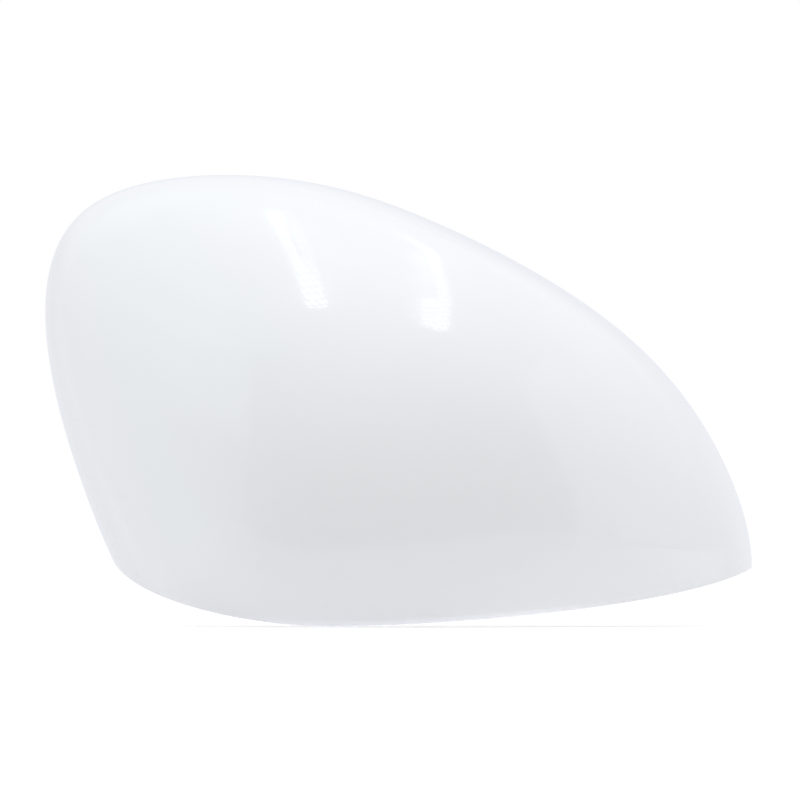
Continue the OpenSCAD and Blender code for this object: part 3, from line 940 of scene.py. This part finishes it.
flat_card("tent_opening", on_front(OPENING, 2), 0.04, [
    (1.18, [(UP, -0.165, 0.4)]),
    (0.26, [(ACROSS, -0.15, -0.5), (UP, 0.1, -0.1)]),
    (0.2, [(ACROSS, 0.1, 0.42), (UP, 0.09, -0.1)]),
])
flat_card("tent_fold", on_inboard(FOLD, 2), 0.91, [
    (0.24, [(BACK, -0.55, -0.05)]),
    (-0.26, [(BACK, 0.05, 0.4)]),
])
flat_card("tent_fold_line", on_inboard(FOLD_LINE, 4), FOLD_LINE_LEVEL)
flat_card("tent_front_line", on_front(FRONT_LINE, 3), FOLD_LINE_LEVEL)
flat_card("tent_front_fold", on_front(FRONT_FOLD, 1), 0.8)
flat_card("ceiling_fold", on_ceiling(CEILING_FOLD, 2), CEILING_LEVEL, CEILING_SWELLS + [
    (0.15, [(ACROSS, 0.6, 0.3), (BACK, -0.13, -0.3)]),
])

# %% [markdown]
# ## The two lamp rows
# Each row is a ribbon under the ceiling, brightest near the camera. There its single
# lamps can be told apart in the lacquer as a fine honeycomb, so the ribbon glows in
# staggered dots that run together farther back. A ribbon adds its glow to the ceiling
# behind it, so where two of them meet there is no dark seam.

# %% Glow of a ribbon
LAMP_WIDTH, LAMP_PITCH, LAMP_GAP, DOTS_BLUR = 0.0098, 0.024, 0.05, (0.02, 0.32)
DOT_EDGE, DOT_CORE = 0.55, 0.35


def staggered_dots(tree, place):
    """Dots on a lattice that is sheared by half a lamp from one lamp to the next, so
    every second row is moved aside: 1 in a dot's core and 0 outside its edge."""
    steps = {}
    for axis, rate in enumerate([(1 / LAMP_WIDTH, 0.5 / LAMP_PITCH, 0), (0, 1 / LAMP_PITCH, 0)]):
        lattice = new_node(tree, "VectorMath", {0: place, 1: rate})
        lattice.operation = "DOT_PRODUCT"
        steps[axis] = lattice.outputs["Value"]
    joined = new_node(tree, "CombineXYZ", steps).outputs["Vector"]
    dots = new_node(tree, "TexVoronoi", {"Vector": joined, "Scale": 1.0, "Randomness": 0.0})
    dots.voronoi_dimensions = "2D"
    return smooth_ramp(tree, dots.outputs["Distance"], DOT_EDGE, DOT_CORE)


def lamp_glow(near, far, fade, soft_sides, soft_ends, dots_blur, length):
    """Glow of a ribbon: near falls to far over a share of its length. It is soft at its
    sides and ends, and dotted at its near end. Its UV map is in metres, and the first two
    numbers of its share attribute are the way from its left and from its right side."""
    def nodes(tree):
        place = tree.nodes.new("ShaderNodeUVMap").outputs["UV"]
        along = along_axes(tree, place)[1]
        blur = spread(tree, along, LAMP_GAP, 1.0, dots_blur)
        level = combined(tree, "MAXIMUM", staggered_dots(tree, place), blur)
        fall = spread(tree, along, near, far, (0.0, length * fade))
        level = combined(tree, "MULTIPLY", level, fall)
        share = tree.nodes.new("ShaderNodeAttribute")
        share.attribute_name = "share"
        from_left, from_right, _ = along_axes(tree, share.outputs["Vector"])
        return ramp_product(tree, level, [from_left, from_right, along], [
            (0, 0.0, soft_sides[0]), (1, 0.0, soft_sides[1]),
            (2, 0.0, soft_ends[0]), (2, length, length - soft_ends[1])])
    return nodes


print("lamps:", LAMP_WIDTH, "m wide, one every", LAMP_PITCH, "m")

# %% [markdown]
# ## A ribbon
# A ribbon is a strip of faces between two lines of points under the ceiling. A curve
# with a width would do as well, but its own map is a share of its length, and this one is
# in metres, so that all lamps are of one size. How far a place lies across the ribbon,
# from each side, goes into an attribute.

# %% Ribbon helper
RIBBON_STATIONS = 60


def lamp_row(name, left, right, near, far, fade, soft_sides, soft_ends, layer=3, dots_blur=DOTS_BLUR):
    """Ribbon between two lines of points [across, back], a layer in mm under the ceiling."""
    t = np.linspace(0, 1, RIBBON_STATIONS)
    lines = []
    for line in (np.array(left, float), np.array(right, float)):
        own = np.linspace(0, 1, len(line))
        lines.append(np.stack([np.interp(t, own, line[:, 0]), np.interp(t, own, line[:, 1]),
                               np.full(RIBBON_STATIONS, CEILING_Z - layer)], -1))
    middle = (lines[0] + lines[1]) / 2 * MM
    along = np.concatenate([[0], np.cumsum(np.linalg.norm(np.diff(middle, axis=0), axis=1))])
    half_width = np.linalg.norm(lines[1] - lines[0], axis=1) / 2 * MM
    points = np.stack(lines, 1).reshape(-1, 3)
    first = 2 * np.arange(RIBBON_STATIONS - 1)
    faces = np.stack([first, first + 1, first + 3, first + 2], -1)
    glow = lamp_glow(near, far, fade, soft_sides, soft_ends, dots_blur, float(along[-1]))
    card = new_piece(name, points, faces.tolist(), [card_material(name, 0.0, own_glow=glow)])
    uv = np.stack([np.stack([-half_width, half_width], -1).ravel(), np.repeat(along, 2)], -1)
    ribbon_map = card.data.uv_layers.new(name="ribbon")
    corner = np.zeros(len(card.data.loops), np.int32)
    card.data.loops.foreach_get("vertex_index", corner)
    ribbon_map.data.foreach_set("uv", uv[corner].ravel())
    share = np.zeros((len(points), 3))
    share[0::2, 1] = 1.0
    share[1::2, 0] = 1.0
    share_map = card.data.attributes.new("share", "FLOAT_VECTOR", "POINT")
    share_map.data.foreach_set("vector", share.ravel())
    return only_for_gloss(card)


print("stations of a ribbon:", RIBBON_STATIONS)

# %% [markdown]
# ## Outboard row
# In the paint this row is two strips side by side with a thin dark joint between them, so
# two ribbons share their middle line. The lines were followed on the photograph and taken
# back to the ceiling along the mirrored rays. A wide, faint ribbon beside them is the
# haze that the lamps throw on the cloth.

# %% Outboard lamps
OUTBOARD_SIDE = [(-103, -292), (-96, -251), (-86, -200), (-75, -139),
                 (-66, -80), (-61, -27), (-56, 30), (-53, 94)]
OUTBOARD_MIDDLE = [(-86, -290), (-79, -245), (-69, -193), (-57, -124),
                   (-51, -78), (-46, -35), (-39, 23), (-34, 92)]
INBOARD_SIDE = [(-69, -272), (-62, -231), (-54, -186), (-43, -116),
                (-35, -68), (-31, -24), (-28, 33), (-27, 100)]
OUTBOARD_HAZE_SIDE = [(-40, -280), (-30, -231), (-22, -186), (-13, -116),
                      (-5, -68), (0, -24), (3, 33), (4, 100)]
LAMP_JOINT = [(-60, -140), (-54, -78), (-49, -35), (-42, 23), (-37, 80),
              (-34, 80), (-39, 23), (-46, -35), (-51, -78)]
lamp_row("lamps_outboard_left", OUTBOARD_SIDE, OUTBOARD_MIDDLE, near=3.4, far=1.2, fade=0.6,
         soft_sides=(0.4, 0.03), soft_ends=(0.006, 0.07))
lamp_row("lamps_outboard_right", OUTBOARD_MIDDLE, INBOARD_SIDE, near=3.4, far=0.7, fade=0.5,
         soft_sides=(0.03, 0.55), soft_ends=(0.006, 0.16))
lamp_row("lamps_outboard_haze", INBOARD_SIDE, OUTBOARD_HAZE_SIDE, near=0.28, far=0.12, fade=0.8,
         soft_sides=(0.02, 0.9), soft_ends=(0.03, 0.10), layer=6)
flat_card("lamp_joint", on_ceiling(LAMP_JOINT, 5), 1.55)

# %% [markdown]
# ## Inboard row
# In the paint this row is a long strip that ends in a hook, with a short pad of light
# beside it near the camera. Each is a ribbon of its own, because they glow differently,
# and a third one is the haze. The hook keeps its dots apart over a longer stretch.

# %% Inboard lamps
HOOK_LEFT = [(54, -320), (56, -249), (59, -178), (61, -129), (62, -82), (63, -32), (65, 13),
             (67, 57), (67, 92), (64, 112), (57, 120), (48, 122), (38, 128)]
HOOK_RIGHT = [(81, -300), (82, -231), (82, -149), (81, -71), (80, -33), (80, 7), (81, 51),
              (82, 102), (81, 135), (77, 158), (71, 173), (62, 184), (50, 188)]
PAD_LEFT, PAD_RIGHT = [(31, -303), (35, -234), (40, -162)], [(64, -314), (65, -218), (67, -132)]
INBOARD_HAZE_LEFT = [(12, -290), (17, -220), (23, -165), (28, -110),
                     (34, -74), (41, -18), (46, 31), (51, 74)]
INBOARD_HAZE_RIGHT = [(42, -290), (46, -220), (66, -160), (68, -97),
                      (68, -60), (69, -10), (70, 50), (72, 110)]
lamp_row("lamps_inboard_hook", HOOK_LEFT, HOOK_RIGHT, near=3.0, far=1.1, fade=0.6,
         soft_sides=(0.35, 0.4), soft_ends=(0.006, 0.08), layer=5, dots_blur=(0.10, 0.55))
lamp_row("lamps_inboard_pad", PAD_LEFT, PAD_RIGHT, near=2.8, far=1.2, fade=0.9,
         soft_sides=(0.35, 0.2), soft_ends=(0.006, 0.012), layer=4)
lamp_row("lamps_inboard_haze", INBOARD_HAZE_LEFT, INBOARD_HAZE_RIGHT, near=0.5, far=0.42, fade=1.0,
         soft_sides=(0.8, 0.25), soft_ends=(0.03, 0.06), layer=6)

# %% [markdown]
# ## Floor, sky and soft light
# The background is plain white, and the floor is a pale sheet that keeps the object's
# shadow. Full white shows only to the camera, in reflections and through glass, by way of
# Light Path, and the light that falls on the paint is set apart from it. One broad lamp
# overhead makes the top the brightest part.

# %% Floor and sky
FLOOR_Z, FLOOR_HALF, FLOOR_ROUGHNESS, FLOOR_LIFT = -0.0526, 20.0, 0.9, 0.26
FLOOR_COLOUR, WHITE, SKY_LEVEL = (0.93, 0.93, 0.93, 1), (1, 1, 1, 1), 0.86
TOP_LAMP_POWER, TOP_LAMP_SIZE, TOP_LAMP_AT = 3.2, 1.4, (0.0, -0.15, 0.95)


def seen_directly(tree):
    """1 for camera, gloss and transmission rays, and 0 for the light that falls on things."""
    path = tree.nodes.new("ShaderNodeLightPath").outputs
    level = path["Is Camera Ray"]
    for name in ("Is Glossy Ray", "Is Transmission Ray"):
        level = combined(tree, "MAXIMUM", level, path[name])
    return level


world = bpy.data.worlds.new("white_tent")
bpy.context.scene.world = world
world.use_nodes = True
sky = world.node_tree
sky_level = spread(sky, seen_directly(sky), SKY_LEVEL, 1.0, source=(0, 1))
feed(sky, sky.nodes["Background"], {"Color": WHITE, "Strength": sky_level})

floor_material, floor_tree, floor_shader, _ = new_material("pale_floor")
feed(floor_tree, floor_shader, {
    "Base Color": FLOOR_COLOUR,
    "Roughness": FLOOR_ROUGHNESS,
    "Specular IOR Level": 0.0,
    "Emission Color": WHITE,
    "Emission Strength": spread(floor_tree, seen_directly(floor_tree), 0.0, FLOOR_LIFT, source=(0, 1)),
})
floor_signs = [(-1, -1), (1, -1), (1, 1), (-1, 1)]
floor_corners = [(x * FLOOR_HALF / MM, y * FLOOR_HALF / MM, FLOOR_Z / MM) for x, y in floor_signs]
floor = new_piece("floor", floor_corners, [[0, 1, 2, 3]], [floor_material])
floor.visible_glossy = False

top_light = bpy.data.lights.new("broad_top_lamp", "AREA")
top_light.energy, top_light.size = TOP_LAMP_POWER, TOP_LAMP_SIZE
top_lamp = bpy.data.objects.new("broad_top_lamp", top_light)
bpy.context.scene.collection.objects.link(top_lamp)
top_lamp.location = TOP_LAMP_AT
top_lamp.visible_glossy = False
print("lamp power:", top_light.energy, "W, sky level:", SKY_LEVEL)

# %% [markdown]
# ## Camera
# The photograph looks straight at the face, from far away with a long lens. A pixel of
# the 800-pixel frame is 0.3 mm at the rim, which gives the lens for any distance.

# %% Camera
PIXELS, PIXEL_MM, CAMERA_DISTANCE = 800, 0.3, 6.0
VIEW_CENTRE, SENSOR_WIDTH, FARTHEST = (-0.003, 0.015), 36.0, 200.0
camera_data = bpy.data.cameras.new("camera")
camera_data.sensor_width = SENSOR_WIDTH
camera_data.lens = SENSOR_WIDTH * CAMERA_DISTANCE / (PIXELS * PIXEL_MM * MM)
camera_data.clip_end = FARTHEST
camera = bpy.data.objects.new("camera", camera_data)
bpy.context.scene.collection.objects.link(camera)
camera.location = (VIEW_CENTRE[0], -CAMERA_DISTANCE, VIEW_CENTRE[1])
camera.rotation_euler = (math.radians(90), 0, 0)
bpy.context.scene.camera = camera
bpy.context.scene.view_settings.view_transform = "Standard"
print("lens:", round(camera_data.lens), "mm")
